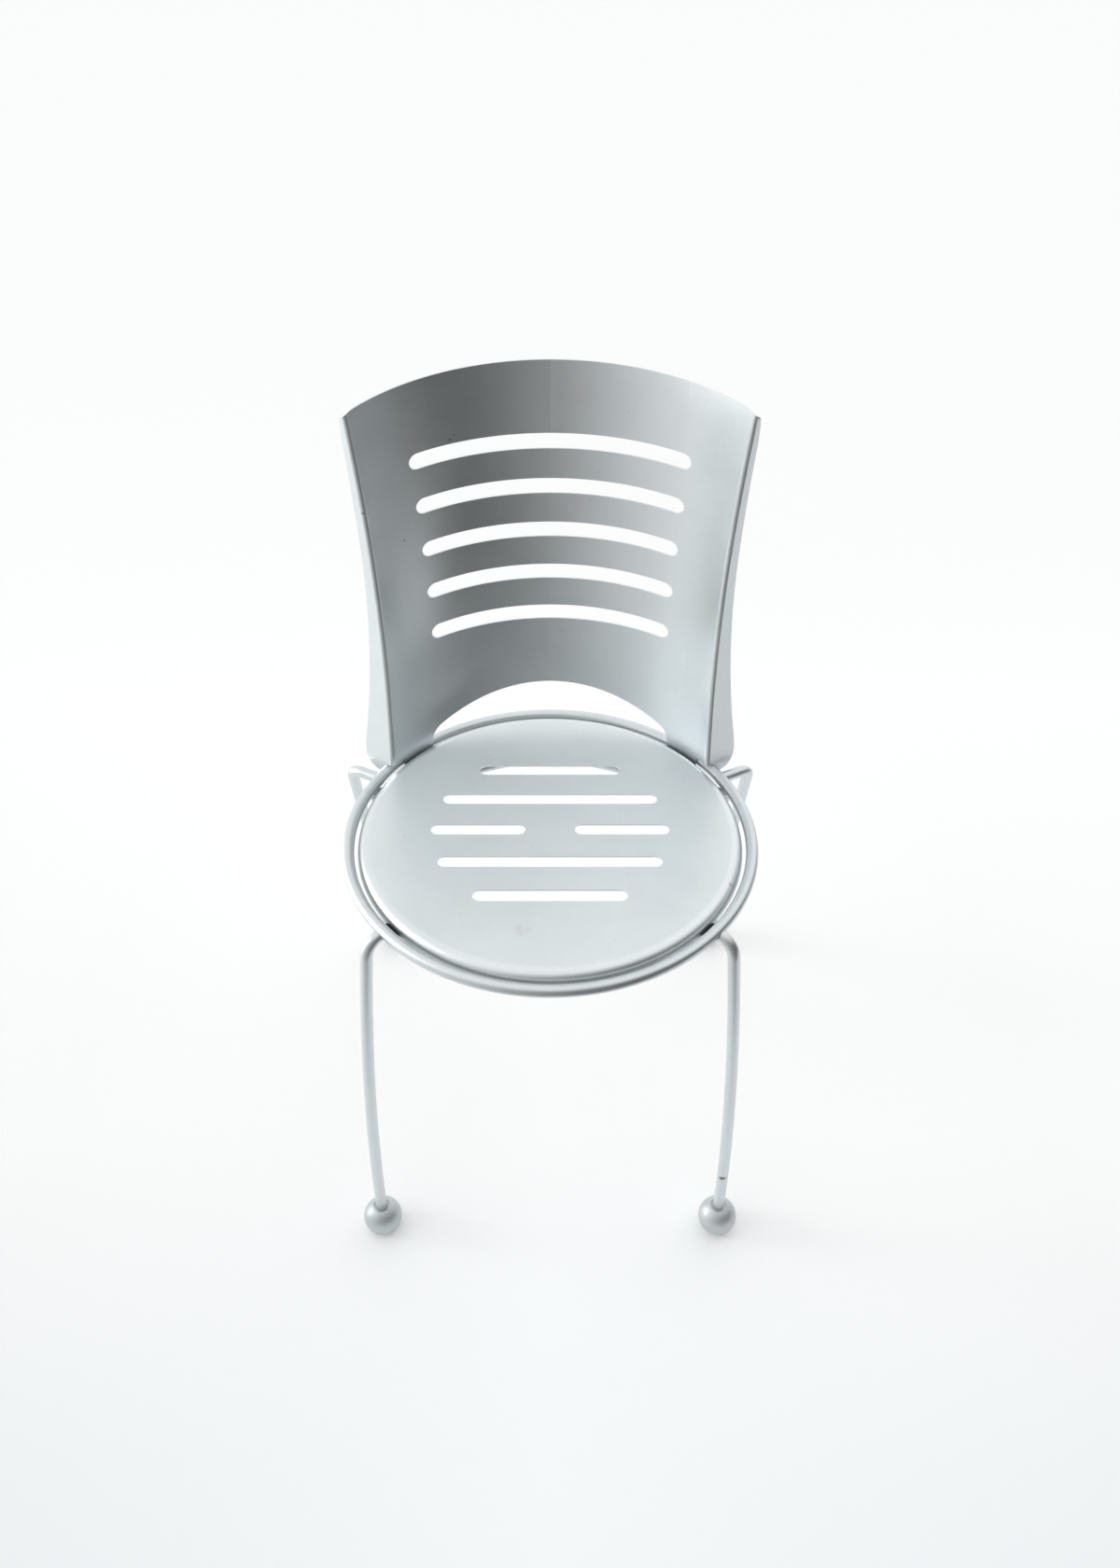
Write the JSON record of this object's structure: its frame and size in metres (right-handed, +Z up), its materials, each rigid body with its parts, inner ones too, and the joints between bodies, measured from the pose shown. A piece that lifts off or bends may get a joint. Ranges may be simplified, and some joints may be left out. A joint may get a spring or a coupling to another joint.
{
  "type": "terrace chair",
  "caption": "Round-seat aluminium terrace chair: bent-rod ring and legs on ball feet, a slotted seat pan on rubber pads and a slotted wrap-around back with turned side flanges.",
  "frame": {"origin": "on the floor, under the middle of the chair's overall box", "axes": "+Z up, the front of the chair toward -Y, +X to the right of someone looking at its front"},
  "size_m": [0.466, 0.511, 0.8332],
  "materials": {
    "frame_silver": "satin silver lacquer",
    "sheet_silver": "satin silver lacquer",
    "ball_silver": "satin silver lacquer",
    "pad_rubber": "matt black",
    "glide_plastic": "matt dark grey",
    "fixing_steel": "bright zinc"
  },
  "bodies": {
    "root": {"seat_ring": "frame_silver", "rear_seat_bar": "frame_silver", "front_left_leg": "frame_silver", "front_right_leg": "frame_silver", "rear_left_leg": "frame_silver", "rear_right_leg": "frame_silver", "front_left_lug": "frame_silver", "front_right_lug": "frame_silver", "seat_pan": "sheet_silver", "backrest": "sheet_silver", "front_left_ball_foot": "ball_silver", "front_right_ball_foot": "ball_silver", "rear_left_ball_foot": "ball_silver", "rear_right_ball_foot": "ball_silver", "front_left_glide": "glide_plastic", "front_right_glide": "glide_plastic", "rear_left_glide": "glide_plastic", "rear_right_glide": "glide_plastic", "front_left_pad": "pad_rubber", "front_right_pad": "pad_rubber", "rear_left_pad": "pad_rubber", "rear_right_pad": "pad_rubber", "seat_studs": "fixing_steel", "seat_washers": "fixing_steel", "seat_nuts": "fixing_steel"}
  },
  "joints": []
}
